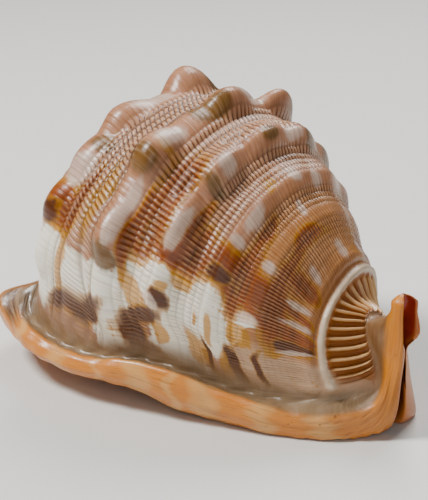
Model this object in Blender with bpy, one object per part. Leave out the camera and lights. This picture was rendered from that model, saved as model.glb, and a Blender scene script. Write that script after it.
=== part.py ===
"""A helmet shell lying on its aperture: one solid, swept ring by ring from the spire to the turned-up canal.

Every ring is a C-shaped section with the same 28 keys, in this order: over the back (0 is the top), down the
near wall, the lip's groove, top, rim and underside, the slit's near edge, round the hollow inside, the slit's
far edge, the shield's underside, rim, top and groove, and up the far wall. The rings close to a point at both
ends, so the whole surface has the layout of a globe and starts as one. Lengths in the tables are millimetres.
"""

import math

import bmesh
import bpy
import numpy as np

for old in list(bpy.data.objects):
    bpy.data.objects.remove(old, do_unlink=True)

MM = 0.001
KEYS = 28
CENTRE = np.array([5.20, 0.61, 0.0])  # middle of the finished shell's box, which becomes the origin

# The coil's axis runs from the spire's tip, nose down, towards +X.
TILT = math.radians(15.0)
APEX = np.array([-60.0, 0.0, 50.0])
AXIS = np.array([math.cos(TILT), 0.0, -math.sin(TILT)])
UP = np.array([math.sin(TILT), 0.0, math.cos(TILT)])
NEAR = np.array([0.0, -1.0, 0.0])
BACK = np.radians([90, 62, 34, 8, -16])  # where keys 0 to 4 stand round the axis
FAR = np.radians([196, 172, 146, 118])  # keys 24 to 27
NEAR_SWELL = 0.97
FAR_SWELL = 1.01

# distance along the axis: radius of the whorl
PROFILE = np.array([
    (0, 0), (5, 10), (11, 21.5), (16, 30.8), (22, 39.2), (30, 46.2), (42, 50.8), (58, 50.6),
    (74, 45.1), (90, 36.9), (104, 27.9), (114, 21.0), (122, 15.6),
])
# x along the shell: outer edge of the lip, height of its underside, its thickness
LIP_EDGE = np.array([
    (-62, -40), (-45, -49.5), (-34, -52.3), (-20, -52.2), (-9, -50.3), (0, -47.8), (10, -43.8), (20, -39.8),
    (30, -35.5), (42, -29), (53, -22.5), (63, -14.5), (72, -4),
])
LIP_LOW = np.array([
    (-75, 15.5), (-60, 13.8), (-45, 10.8), (-30, 8.2), (-15, 6.8), (-5, 6.5), (2, 6.4), (8, 6.1), (15, 4.5),
    (22, 2.0), (30, 0.4), (42, 0), (75, 0),
])
LIP_THICK = np.array([
    (-75, 6.5), (-45, 6.6), (-30, 6.2), (-15, 6.7), (-5, 6.8), (2, 7.6), (8, 9.4), (15, 10.7), (22, 11.2),
    (30, 10.4), (40, 10), (50, 10.5), (75, 11),
])
SHIELD_EDGE = np.array([(-70, 38), (-55, 47), (-30, 51), (0, 49), (25, 41), (45, 30), (60, 18), (72, 10)])
SLIT_MIDDLE = np.array([(-70, -6), (-40, -9), (0, -8), (30, -3), (50, 2), (72, 9)])
SLIT_WIDTH = np.array([(-70, 3), (-50, 6), (-20, 10), (20, 12), (50, 11), (72, 6)])

# height of the smooth spiral ribs and of the bands between them, by distance along the spiral
RIBS = np.array([
    (0, 0), (24, 0), (32.5, 1.1), (37.5, 0.2), (42, -0.6), (46, 0.2), (50.3, 1.1), (54.5, 0.2), (58.3, -0.6),
    (63, 0.2), (67.6, 1.0), (71.5, 0.1), (75.3, -0.5), (79, 0.1), (82.5, 0.6), (85.5, 0), (88, -0.4), (91.5, 0),
    (95, 0.4), (98, 0), (101, -0.3), (105, 0), (108.3, 0.8), (109.6, 0.5), (111, 1.9), (113, 0.2), (115, 0), (200, 0),
])
# rows of knobs: distance along the spiral, then (angle round the axis, height)
KNOBS = [
    (31.5, [(0, 1.5), (21, 2.5), (43, 1.8), (63, 3.2), (95, 7.0), (125, 4.0), (155, 4.0), (184, 2.5)]),
    (50.3, [(-6, 1.0), (24, 3.8), (56, 4.2), (93, 4.6), (121, 6.5), (150, 4.0), (178, 2.5)]),
    (67.6, [(17, 1.6), (41, 3.2), (68, 3.6), (94, 3.0), (118, 2.2), (141, 1.6), (166, 2.2)]),
    (82.5, [(40, 0.9), (68, 1.4), (95, 1.0), (120, 1.2), (145, 1.0)]),
]


def along(table, x):
    """Reads a two-column table at x, with a smooth curve through its rows."""
    t, y = table[:, 0], table[:, 1]
    slope = np.gradient(y, t)
    x = np.clip(np.asarray(x, float), t[0], t[-1])
    i = np.clip(np.searchsorted(t, x) - 1, 0, len(t) - 2)
    h = t[i + 1] - t[i]
    q = (x - t[i]) / h
    blend = 3 * q**2 - 2 * q**3
    return y[i] * (1 - blend) + y[i + 1] * blend + h * (q * (1 - q) ** 2 * slope[i] - q**2 * (1 - q) * slope[i + 1])


def step(low, high, x):
    q = np.clip((x - low) / (high - low), 0, 1)
    return q * q * (3 - 2 * q)


def through(keys, counts, closed):
    """A smooth curve through the keys, counts[k] points from key k on."""
    if closed:
        ends = np.concatenate([keys[-1:], keys, keys[:2]])
    else:
        ends = np.concatenate([2 * keys[:1] - keys[1:2], keys, 2 * keys[-1:] - keys[-2:-1]])
    span = np.sqrt(np.linalg.norm(np.diff(ends, axis=0), axis=2) + 1e-6)[..., None]
    rate = np.diff(ends, axis=0) / span
    slope = (rate[:-1] * span[1:] + rate[1:] * span[:-1]) / (span[:-1] + span[1:])
    parts = []
    for k in range(len(keys) if closed else len(keys) - 1):
        q = (np.arange(counts[k]) / counts[k])[:, None, None]
        blend = 3 * q**2 - 2 * q**3
        pull = q * (1 - q) ** 2 * slope[k] - q**2 * (1 - q) * slope[k + 1]
        parts.append(ends[k + 1] * (1 - blend) + ends[k + 2] * blend + pull * span[k + 1])
    if not closed:
        parts.append(keys[-1:])
    return np.concatenate(parts)


def round_axis(s, angle, radius):
    return APEX + s * AXIS + radius * (math.cos(angle) * NEAR + math.sin(angle) * UP)


def whorl(s, angle):
    swell = NEAR_SWELL if math.cos(angle) > 0 else FAR_SWELL
    return float(along(PROFILE, s)) * (1 + (swell - 1) * abs(math.cos(angle)) ** 1.5)


def on_whorl(s, angles):
    return [round_axis(s, a, whorl(s, a)) for a in angles]


def spire_ring(s):
    return np.array(on_whorl(s, list(BACK) + list(np.radians(np.linspace(-26, -154, 19))) + list(FAR)))


def brim_ring(s, knots):
    """Over the shoulder as the whorl, and below it along a line of knots (key, x, y, z)."""
    knots = np.array(knots, float)
    low = np.stack([np.interp(np.arange(5, 24), knots[:, 0], knots[:, j]) for j in (1, 2, 3)], 1)
    return np.array(on_whorl(s, BACK) + list(low) + on_whorl(s, FAR))


def body_ring(s, depth):
    """A full section; depth is how far the hollow reaches round the axis, 0 to 1."""
    def at(y, z):
        rise = (z - (APEX + s * AXIS)[2]) / math.cos(TILT)
        return np.array([(APEX + s * AXIS)[0] + rise * math.sin(TILT), y, z])

    x = at(0, 6)[0]
    edge, low, thick = (float(along(t, x)) for t in (LIP_EDGE, LIP_LOW, LIP_THICK))
    shield, middle, width = (float(along(t, x)) for t in (SHIELD_EDGE, SLIT_MIDDLE, SLIT_WIDTH))
    radius = float(along(PROFILE, s))
    top = low + thick
    foot = min(max(-0.97 * whorl(s, 0), edge + 14), edge + 7)
    ring = on_whorl(s, BACK)
    ring[4] = at(max(ring[4][1], foot), max(ring[4][2], top + 10))
    ring += [
        at(foot, top + 0.5), at(edge + 2.5, top + 1), at(edge, low + 0.55 * thick), at(edge + 4, low + 0.2),
        at((edge + middle) / 2 - 3, low), at(middle - width / 2, low + 5.5),
    ]
    near_edge, far_edge = ring[10], at(middle + width / 2, 8)
    reach = 170 * depth - 12
    inner, core = radius - 5.8, 0.2 * radius
    hollow = [
        at(foot + 6.5, top + 2.5),
        round_axis(s, math.radians(reach * 0.4 - 28), inner),
        round_axis(s, math.radians(reach * 0.75 - 28), inner),
        round_axis(s, math.radians(reach - 28), (inner + core) / 2),
        round_axis(s, math.radians(reach * 0.7 - 28), core),
        round_axis(s, math.radians(reach * 0.3 - 28), core),
        round_axis(s, math.radians(-40), core),
    ]
    hollow[1] = at(max(hollow[1][1], 6 - whorl(s, 0)), max(hollow[1][2], top + 14))
    for i, point in enumerate(hollow):
        shut = near_edge + (far_edge - near_edge) * (i + 1) / 8 + np.array([0, 0, 1.0])
        ring.append(shut + (point - shut) * min(1.0, 1.6 * depth))
    ring += [
        far_edge, at(middle + width / 2 + 8, -0.6), at(shield - 5.5, -0.2), at(shield, 5), at(shield - 2, 9.5),
        at(shield - 7, 11),
    ]
    far = on_whorl(s, FAR)
    inside = max(far[0][1], shield - 11) if far[0][1] < shield - 4 else shield - 8
    far[0] = at(inside, max(far[0][2], 20))
    return np.array(ring + far)


def canal_ring(middle, lean, near, far, back, front, flare, slot, wall, deep=1.0, far_back=0.0):
    """A small U-shaped section in a plane that leans back by lean degrees; far_back sets its far side back."""
    a = math.radians(lean)
    rise = np.array([-math.sin(a), 0, math.cos(a)])

    def at(n, t):
        behind = far_back * max(0.0, -n) / (far + flare) * (1 if t < 0.3 * back else 0.4)
        return np.array(middle) + n * NEAR + t * rise - np.array([behind, 0, 0])

    n_rim, f_rim = near + flare, far + flare
    ring = [
        at(0, back), at(0.55 * near, 0.9 * back), at(0.88 * near, 0.62 * back), at(near, 0.25 * back),
        at(near, -0.05 * back), at(near + 0.1 * flare, -0.35 * front), at(n_rim, -0.55 * front),
        at(n_rim + 0.5, -0.75 * front), at(n_rim - 1, -0.95 * front), at((near + slot) / 2, -front),
        at(slot, -0.93 * front),
    ]
    b, n, f = back - wall, near - wall, far - wall
    hollow = [
        ((slot + n) / 2, -0.6 * front), (n, -0.2 * front), (0.8 * n, 0.6 * b), (0, b), (-0.8 * f, 0.6 * b),
        (-f, -0.2 * front), (-(slot + f) / 2, -0.6 * front),
    ]
    for i, (side, height) in enumerate(hollow):
        shut = slot * (1 - (i + 1) / 4)
        ring.append(at(shut + (side - shut) * deep, -0.93 * front + (height + 0.93 * front) * deep))
    ring += [
        at(-slot, -0.93 * front), at(-(far + slot) / 2, -front), at(1 - f_rim, -0.95 * front),
        at(-f_rim - 0.5, -0.75 * front), at(-f_rim, -0.55 * front), at(-far - 0.1 * flare, -0.35 * front),
        at(-far, -0.05 * back), at(-far, 0.25 * back), at(-0.88 * far, 0.62 * back), at(-0.55 * far, 0.9 * back),
    ]
    return np.array(ring)


def stations():
    """The rings from the spire's tip to the canal's tip."""
    under = brim_ring(26, [
        (5, -45, -37.5, 20), (7, -50.5, -46.8, 17), (8, -54.5, -43.5, 12), (9, -59.5, -28, 7), (10, -63, -13, 4.8),
        (14, -64, -6, 3.8), (18, -64, 1, 2.8), (19, -63.5, 10, 1.8), (20, -53.5, 43, 0.6), (23, -45, 43, 11),
    ])
    shut = body_ring(26, 0)
    under[:8] = shut[:8]
    under[21:] = shut[21:]
    rings = [
        spire_ring(0.3), spire_ring(5), spire_ring(11),
        brim_ring(16.5, [
            (5, -43, -34, 28), (8, -49.5, -29, 25), (10, -55, -12, 22.5), (14, -56, -6, 22), (18, -56, 1, 22),
            (19, -55.5, 9, 22), (20, -49.5, 29, 21.5), (23, -43, 34, 24),
        ]),
        brim_ring(21.5, [
            (5, -45, -37, 24), (7, -54.5, -44.5, 20.8), (8, -59, -41, 18.5), (9, -64, -27, 15), (10, -67, -13, 13),
            (14, -68, -6, 12.5), (18, -68, 1, 12), (19, -67.5, 10, 11.5), (20, -59, 39, 11), (21, -55.5, 43.5, 11),
            (23, -45.5, 38.5, 18),
        ]),
        under,
    ]
    rings += [body_ring(s, depth) for s, depth in ((34, 0.35), (46, 0.9), (60, 1), (76, 1), (90, 0.85), (103, 0.6))]
    rings += [
        canal_ring((57.5, 4, 16), 10, 16.5, 14.5, 22.6, 16, 6, 4, 5, far_back=1),
        canal_ring((64.8, 6, 19), 17, 8.3, 10.8, 17, 20, 5.5, 3.5, 3.5, far_back=4.5),
        canal_ring((67.2, 6.2, 24), 28, 5.6, 7.8, 10.5, 9, 2.2, 3, 2.5, far_back=4.5),
        canal_ring((70.8, 5.2, 31), 60, 5.4, 7.2, 6, 5.2, 1, 3.4, 1.9, far_back=3),
        canal_ring((73.3, 4, 37), 84, 5.0, 6.0, 4.9, 4.6, 0.4, 3.4, 1.7, far_back=1.5),
        canal_ring((74.2, 3.5, 40.1), 90, 4.8, 5.4, 4.2, 4.2, 0, 3.2, 1.7, deep=0.95, far_back=0.8),
        canal_ring((74.4, 3.4, 42.3), 90, 4.0, 4.3, 3.4, 3.2, 0, 2.4, 1.5, deep=0.25, far_back=0.3),
        canal_ring((74.5, 3.4, 43.7), 90, 0.4, 0.4, 0.4, 0.6, 0, 0.1, 0.1, deep=0),
    ]
    return np.array(rings)


# How many rings and columns each interval holds. Two rings make one tooth of the aperture and two columns
# make one rib of the fan, so the coarse counts carry both.
RING_COUNTS = [2, 2, 3, 2, 2, 3, 5, 6, 6, 5, 5, 8, 5, 3, 2, 2, 2, 1, 1]
COLUMN_COUNTS = [5, 5, 5, 5, 2, 1, 2, 2, 2, 2, 1, 2, 2, 1, 1, 1, 1, 1, 2, 5, 2, 1, 1, 2, 5, 5, 5, 5]


def tracks(counts, coarse):
    """For each row of points: its place among the stations, and its place counted in coarse steps."""
    place = np.concatenate([k + np.arange(n) / n for k, n in enumerate(counts)])
    total = np.concatenate([[0], np.cumsum(coarse)])
    return place, np.interp(place, np.arange(len(total)), total)


def facing(grid):
    """Outward unit normals of a grid of points."""
    ahead = np.gradient(grid, axis=0)
    across = np.roll(grid, -1, 1) - np.roll(grid, 1, 1)
    normal = np.cross(across, ahead)
    return normal / (np.linalg.norm(normal, axis=2, keepdims=True) + 1e-9)


def coil(grid):
    """Distance along the axis, angle round it in degrees, and distance along the spiral."""
    from_apex = grid - APEX
    s = from_apex @ AXIS
    angle = np.degrees(np.arctan2(from_apex @ UP, from_apex @ NEAR))
    angle = np.where(angle < -90, angle + 360, angle)
    return s, angle, s + 0.13 * step(40, 58, s) * (np.clip(angle, -20, 150) - 90)


def relief(grid, ring, ring_step, column, column_step):
    """How far each point of the skin stands out, in millimetres."""
    s, angle, spiral = coil(grid)
    radius = np.linalg.norm(np.cross(grid - APEX, AXIS), axis=2)
    column = np.where(column > 14, column - KEYS, column)[None, :]
    ring = ring[:, None]
    skin = step(-4.6, -3.7, column) * (1 - step(3.9, 4.8, column)) * step(1.5, 3.2, ring)
    skin = skin * (1 - step(13.2, 14.2, ring))
    out = along(RIBS, spiral) * skin
    for row, knobs in KNOBS:
        for place, height in knobs:
            round_by = np.radians(angle - place) * radius
            long = np.where(round_by > 0, 12.5, 9.0)
            spread = ((spiral - row) / 7.2) ** 2 + (round_by / long) ** 2
            out += height * np.clip(1 - spread, 0, 1) ** 1.5 * skin
    # the spire: a suture that winds in to the tip, with a row of nodules above it
    turn = np.log(np.maximum(radius, 1.0) / 39) / math.log(1.5) + angle / 360
    turn = turn - np.floor(turn)
    spire = (1 - step(17, 23, s)) * step(0.2, 1.5, ring) * step(-5, -4, column) * (1 - step(4.5, 5.5, column))
    suture = np.exp(-((np.minimum(turn, 1 - turn) / 0.09) ** 2))
    nodule = np.exp(-(((turn - 0.55) / 0.2) ** 2)) * (0.5 + 0.5 * np.cos(np.radians(angle * 12)))
    out += spire * np.clip(radius / 30, 0.2, 1) * (1.6 * nodule - 0.9 * suture)
    # the fan of ribs in front of the white ridge
    fan = step(112, 114, spiral) * (1 - step(13.4, 13.8, ring)) * step(-3.0, -2.0, column) * (1 - step(3.6, 4.2, column))
    out += fan * 0.6 * np.cos(math.pi * column_step)[None, :]
    # teeth along the lip's inner edge and folds along the shield's
    tooth = 0.5 + 0.5 * np.cos(math.pi * ring_step)[:, None]
    length = step(5.8, 6.6, ring) * (1 - step(12.2, 13.0, ring))
    lip_side = np.clip(1 - ((column - 9.9) / 1.0) ** 2, 0, 1)
    shield_side = np.clip(1 - ((column + KEYS - 18.3) / 1.2) ** 2, 0, 1)
    out += length * tooth * (1.1 * lip_side + 0.8 * shield_side)
    return out


def shell_points(ring_counts, column_counts):
    """The finished surface as a grid: rings from the spire to the canal's tip, columns round each."""
    grid = through(stations(), ring_counts, False)
    grid = through(grid.transpose(1, 0, 2), column_counts, True).transpose(1, 0, 2)
    ring, ring_step = tracks(ring_counts, RING_COUNTS)
    ring, ring_step = np.append(ring, len(RING_COUNTS)), np.append(ring_step, sum(RING_COUNTS))
    column, column_step = tracks(column_counts, COLUMN_COUNTS)
    grid = grid + facing(grid) * relief(grid, ring, ring_step, column, column_step)[..., None]
    grid[..., 2] = np.maximum(grid[..., 2], 0)
    return (grid - CENTRE) * MM


def globe(name, grid):
    """A UV sphere with its rings and columns moved onto the grid."""
    rings, columns = len(grid) - 1, grid.shape[1]
    bm = bmesh.new()
    bmesh.ops.create_uvsphere(bm, u_segments=columns, v_segments=rings, radius=1.0)
    for vert in bm.verts:
        x, y, z = vert.co
        ring = round(math.acos(max(-1.0, min(1.0, z))) / math.pi * rings)
        if ring in (0, rings):
            vert.co = grid[ring].mean(axis=0)
        else:
            vert.co = grid[ring][round(-math.atan2(y, x) / math.tau * columns) % columns]
    bmesh.ops.recalc_face_normals(bm, faces=bm.faces)
    mesh = bpy.data.meshes.new(name)
    bm.to_mesh(mesh)
    bm.free()
    shape = bpy.data.objects.new(name, mesh)
    bpy.context.collection.objects.link(shape)
    return shape


shell = globe("helmet_shell", shell_points(RING_COUNTS, COLUMN_COUNTS))

glaze = bpy.data.materials.new("glossy_shell")
glaze.use_nodes = True
surface = glaze.node_tree.nodes["Principled BSDF"]
surface.inputs["Base Color"].default_value = (0.62, 0.36, 0.20, 1.0)
surface.inputs["Roughness"].default_value = 0.32
surface.inputs["Metallic"].default_value = 0.0
shell.data.materials.append(glaze)

corners = np.array([vert.co for vert in shell.data.vertices]) / MM
print("box from", corners.min(axis=0).round(2), "to", corners.max(axis=0).round(2), "faces", len(shell.data.polygons))
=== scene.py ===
# %% [markdown]
# # A helmet shell
#
# The real thing is the empty shell of a large sea snail, lying on its aperture on a pale table. It has
# one body whorl that swallows nearly everything else, a low spire at one end, rows of blunt knobs with
# corded bands between them, a thick rolled lip round the near side, a broad glazed shield underneath,
# a fan of sharp ribs in front of a white ridge, and a short canal that turns straight up at the end.
#
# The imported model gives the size, the place and the main form. One fine mesh stands in for its single
# solid. It is swept through nearly the same keys, with many more rings and columns, so that every cord,
# growth rib and bead can be real relief and not only paint. Only the canal's sides are finer here.

import math

import bmesh
import bpy
import numpy as np
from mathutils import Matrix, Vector


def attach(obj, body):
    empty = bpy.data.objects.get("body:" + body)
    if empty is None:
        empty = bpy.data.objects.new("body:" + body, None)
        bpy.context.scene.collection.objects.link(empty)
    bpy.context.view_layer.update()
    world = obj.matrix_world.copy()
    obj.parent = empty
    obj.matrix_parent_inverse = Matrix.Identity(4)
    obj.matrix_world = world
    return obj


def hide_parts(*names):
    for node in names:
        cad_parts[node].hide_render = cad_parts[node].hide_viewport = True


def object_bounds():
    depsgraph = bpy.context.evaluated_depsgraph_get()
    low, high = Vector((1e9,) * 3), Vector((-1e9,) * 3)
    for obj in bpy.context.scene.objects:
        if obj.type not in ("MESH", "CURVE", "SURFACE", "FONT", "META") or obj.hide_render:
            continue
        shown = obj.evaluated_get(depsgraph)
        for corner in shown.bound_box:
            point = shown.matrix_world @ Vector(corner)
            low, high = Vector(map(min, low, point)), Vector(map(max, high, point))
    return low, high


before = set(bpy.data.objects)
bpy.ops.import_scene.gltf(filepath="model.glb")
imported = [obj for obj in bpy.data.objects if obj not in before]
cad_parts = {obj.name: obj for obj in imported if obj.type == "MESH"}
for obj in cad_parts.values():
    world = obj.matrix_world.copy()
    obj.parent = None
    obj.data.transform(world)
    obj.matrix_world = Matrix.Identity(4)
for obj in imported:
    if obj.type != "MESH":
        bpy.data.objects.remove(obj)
cad_low, cad_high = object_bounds()
print("packed box", [round(1000 * v, 1) for v in cad_low], [round(1000 * v, 1) for v in cad_high])

# %% [markdown]
# ## Measures of the shell
#
# A snail builds its shell as a tube that widens as it winds, so the body whorl is close to a solid of
# revolution about the coiling axis. The axis here runs from the spire's tip down towards the canal. The
# tables hold the whorl's radius along that axis, the lip's edge and thickness, the shield's edge and the
# slit between the two, all in millimetres. A scan could give them; here they are read off, and they
# are the same values that the imported solid is made from.

# %% Axis, whorl, lip and shield
MM = 0.001
KEYS = 28
CENTRE = np.array([5.20, 0.61, 0.0])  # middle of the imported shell's box, which is the origin
TILT = math.radians(15.0)
APEX = np.array([-60.0, 0.0, 50.0])
AXIS = np.array([math.cos(TILT), 0.0, -math.sin(TILT)])
UP = np.array([math.sin(TILT), 0.0, math.cos(TILT)])
NEAR = np.array([0.0, -1.0, 0.0])
BACK = np.radians([90, 62, 34, 8, -16])
FAR = np.radians([196, 172, 146, 118])
NEAR_SWELL = 0.97
FAR_SWELL = 1.01
BODY_WALL = 5.8
CORE_SHARE = 0.2  # the inner column, as a share of the whorl's radius

PROFILE = np.array([
    (0, 0), (5, 10), (11, 21.5), (16, 30.8), (22, 39.2), (30, 46.2), (42, 50.8), (58, 50.6),
    (74, 45.1), (90, 36.9), (104, 27.9), (114, 21.0), (122, 15.6),
])
LIP_EDGE = np.array([
    (-62, -40), (-45, -49.5), (-34, -52.3), (-20, -52.2), (-9, -50.3), (0, -47.8), (10, -43.8),
    (20, -39.8), (30, -35.5), (42, -29), (53, -22.5), (63, -14.5), (72, -4),
])
LIP_LOW = np.array([
    (-75, 15.5), (-60, 13.8), (-45, 10.8), (-30, 8.2), (-15, 6.8), (-5, 6.5), (2, 6.4), (8, 6.1), (15, 4.5),
    (22, 2.0), (30, 0.4), (42, 0), (75, 0),
])
LIP_THICK = np.array([
    (-75, 6.5), (-45, 6.6), (-30, 6.2), (-15, 6.7), (-5, 6.8), (2, 7.6), (8, 9.4), (15, 10.7), (22, 11.2),
    (30, 10.4), (40, 10), (50, 10.5), (75, 11),
])
SHIELD_EDGE = np.array([
    (-70, 38), (-55, 47), (-30, 51), (0, 49), (25, 41), (45, 30), (60, 18), (72, 10),
])
SLIT_MIDDLE = np.array([(-70, -6), (-40, -9), (0, -8), (30, -3), (50, 2), (72, 9)])
SLIT_WIDTH = np.array([(-70, 3), (-50, 6), (-20, 10), (20, 12), (50, 11), (72, 6)])
print("whorl", PROFILE[:, 1].max(), "mm in radius at most, along an axis of", PROFILE[-1, 0], "mm")

# %% [markdown]
# ## Ribs and knobs
#
# Smooth spiral ribs carry the rows of knobs, with lower bands between them. Their places are given as a
# distance along the spiral, which runs from the spire towards the canal and slants a little as it goes
# round. The top row is the tallest, and the knobs fade towards the lip and towards the canal. Sculpting
# them by hand would work too, but a table keeps their rhythm and is easy to change.

# %% Ribs and knobs
RIBS = np.array([  # place along the spiral, height
    (0, 0), (24, 0), (32.5, 1.1), (37.5, 0.2), (42, -0.6), (46, 0.2), (50.3, 1.1), (54.5, 0.2),
    (58.3, -0.6), (63, 0.2), (67.6, 1.0), (71.5, 0.1), (75.3, -0.5), (79, 0.1), (82.5, 0.6), (85.5, 0),
    (88, -0.4), (91.5, 0), (95, 0.4), (98, 0), (101, -0.3), (105, 0), (108.3, 0.8), (109.5, 0.3),
    (110.3, 0.9), (111.2, 1.8), (112.1, 0.9), (113.2, 0.1), (115, 0), (200, 0),
])
KNOBS = [  # a row's place along the spiral, then each knob's angle and height
    (31.5, [(0, 1.5), (21, 2.5), (43, 1.8), (63, 3.2), (95, 7.0), (125, 4.0), (155, 4.0), (184, 2.5)]),
    (50.3, [(-6, 1.0), (24, 3.8), (56, 4.2), (93, 4.6), (121, 6.5), (150, 4.0), (178, 2.5)]),
    (67.6, [(17, 1.6), (41, 3.2), (68, 3.6), (94, 3.0), (118, 2.2), (141, 1.6), (166, 2.2)]),
    (82.5, [(40, 0.9), (68, 1.4), (95, 1.0), (120, 1.2), (145, 1.0)]),
]
KNOB_REACH = 7.2  # from a knob's middle to its edge, along the spiral
KNOB_AHEAD, KNOB_BEHIND = 12.5, 9.0  # a knob's two slopes round the axis
print(sum(len(knobs) for _, knobs in KNOBS), "knobs in", len(KNOBS), "rows")

# %% [markdown]
# ## Smooth curves
#
# A grown shell has no straight runs and no corners where it grew evenly, so each table is read with a
# smooth curve, and the surface passes through its keys with a curve that keeps to their spacing. Blender's
# own curves could do it for one line at a time, but here a whole grid of them has to stay in step.

# %% Curves and soft steps
def along(table, x):
    """A table's value at x, read with a smooth curve."""
    t, y = table[:, 0], table[:, 1]
    slope = np.gradient(y, t)
    x = np.clip(np.asarray(x, float), t[0], t[-1])
    i = np.clip(np.searchsorted(t, x) - 1, 0, len(t) - 2)
    h = t[i + 1] - t[i]
    q = (x - t[i]) / h
    blend = 3 * q**2 - 2 * q**3
    pull = q * (1 - q) ** 2 * slope[i] - q**2 * (1 - q) * slope[i + 1]
    return y[i] * (1 - blend) + y[i + 1] * blend + h * pull


def step(low, high, x):
    """0 below low, 1 above high, and soft between."""
    q = np.clip((x - low) / (high - low), 0, 1)
    return q * q * (3 - 2 * q)


def hump(middle, half, x):
    """1 at the middle, 0 beyond half on either side."""
    return np.clip(1 - ((x - middle) / half) ** 2, 0, 1)


def through(keys, counts, closed):
    """A smooth curve through the keys, with so many steps from each key to the next."""
    if closed:
        ends = np.concatenate([keys[-1:], keys, keys[:2]])
    else:
        ends = np.concatenate([2 * keys[:1] - keys[1:2], keys, 2 * keys[-1:] - keys[-2:-1]])
    span = np.sqrt(np.linalg.norm(np.diff(ends, axis=0), axis=2) + 1e-6)[..., None]
    rate = np.diff(ends, axis=0) / span
    slope = (rate[:-1] * span[1:] + rate[1:] * span[:-1]) / (span[:-1] + span[1:])
    parts = []
    for k in range(len(keys) if closed else len(keys) - 1):
        q = (np.arange(counts[k]) / counts[k])[:, None, None]
        blend = 3 * q**2 - 2 * q**3
        pull = q * (1 - q) ** 2 * slope[k] - q**2 * (1 - q) * slope[k + 1]
        parts.append(ends[k + 1] * (1 - blend) + ends[k + 2] * blend + pull * span[k + 1])
    if not closed:
        parts.append(keys[-1:])
    return np.concatenate(parts)


print("half way up the whorl the radius is", along(PROFILE, 58.0).round(1), "mm")

# %% [markdown]
# ## Sections of the shell
#
# Cut across its axis, the shell is a C. The section goes over the back, down the near wall to the lip,
# round the lip's rim and under it to the slit, round the hollow inside, out again at the slit's far edge,
# across the shield and up the far wall. At the spire the section closes to a ring, and at the other end
# it shrinks to the small trough of the canal, whose planes lean back until the canal stands upright. A
# remesh of separate lumps would be quicker to make, but would lose the sharp lip and the thin canal.

# %% Sections
def round_axis(s, angle, radius):
    """The point at distance s along the axis, at an angle and a radius from it."""
    return APEX + s * AXIS + radius * (math.cos(angle) * NEAR + math.sin(angle) * UP)


def whorl(s, angle):
    swell = NEAR_SWELL if math.cos(angle) > 0 else FAR_SWELL
    return float(along(PROFILE, s)) * (1 + (swell - 1) * abs(math.cos(angle)) ** 1.5)


def on_whorl(s, angles):
    return [round_axis(s, a, whorl(s, a)) for a in angles]


def spire_ring(s):
    """A plain closed ring, before the lip begins."""
    underneath = np.radians(np.linspace(-26, -154, 19))
    return np.array(on_whorl(s, list(BACK) + list(underneath) + list(FAR)))


def brim_ring(s, knots):
    """A ring with the start of the lip, whose lower half runs through the knots."""
    knots = np.array(knots, float)
    low = np.stack([np.interp(np.arange(5, 24), knots[:, 0], knots[:, j]) for j in (1, 2, 3)], 1)
    return np.array(on_whorl(s, BACK) + list(low) + on_whorl(s, FAR))


def body_ring(s, depth):
    """The C of the body whorl; depth opens its hollow from 0, shut, to 1."""
    def at(y, z):
        rise = (z - (APEX + s * AXIS)[2]) / math.cos(TILT)
        return np.array([(APEX + s * AXIS)[0] + rise * math.sin(TILT), y, z])

    x = at(0, 6)[0]
    edge, low, thick = (float(along(t, x)) for t in (LIP_EDGE, LIP_LOW, LIP_THICK))
    shield, middle, width = (float(along(t, x)) for t in (SHIELD_EDGE, SLIT_MIDDLE, SLIT_WIDTH))
    radius = float(along(PROFILE, s))
    top = low + thick
    foot = min(max(-0.97 * whorl(s, 0), edge + 14), edge + 7)
    ring = on_whorl(s, BACK)
    ring[4] = at(max(ring[4][1], foot), max(ring[4][2], top + 10))
    ring += [
        at(foot, top + 0.5), at(edge + 2.5, top + 1), at(edge, low + 0.55 * thick),
        at(edge + 4, low + 0.2), at((edge + middle) / 2 - 3, low), at(middle - width / 2, low + 5.5),
    ]
    near_edge, far_edge = ring[10], at(middle + width / 2, 8)
    reach = 170 * depth - 12
    inner, core = radius - BODY_WALL, CORE_SHARE * radius
    hollow = [
        at(foot + 6.5, top + 2.5),
        round_axis(s, math.radians(reach * 0.4 - 28), inner),
        round_axis(s, math.radians(reach * 0.75 - 28), inner),
        round_axis(s, math.radians(reach - 28), (inner + core) / 2),
        round_axis(s, math.radians(reach * 0.7 - 28), core),
        round_axis(s, math.radians(reach * 0.3 - 28), core),
        round_axis(s, math.radians(-40), core),
    ]
    hollow[1] = at(max(hollow[1][1], 6 - whorl(s, 0)), max(hollow[1][2], top + 14))
    for i, point in enumerate(hollow):
        shut = near_edge + (far_edge - near_edge) * (i + 1) / 8 + np.array([0, 0, 1.0])
        ring.append(shut + (point - shut) * min(1.0, 1.6 * depth))
    ring += [
        far_edge, at(middle + width / 2 + 8, -0.6), at(shield - 5.5, -0.2), at(shield, 5),
        at(shield - 2, 9.5), at(shield - 7, 11),
    ]
    far = on_whorl(s, FAR)
    inside = max(far[0][1], shield - 11) if far[0][1] < shield - 4 else shield - 8
    far[0] = at(inside, max(far[0][2], 20))
    return np.array(ring + far)


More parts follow.
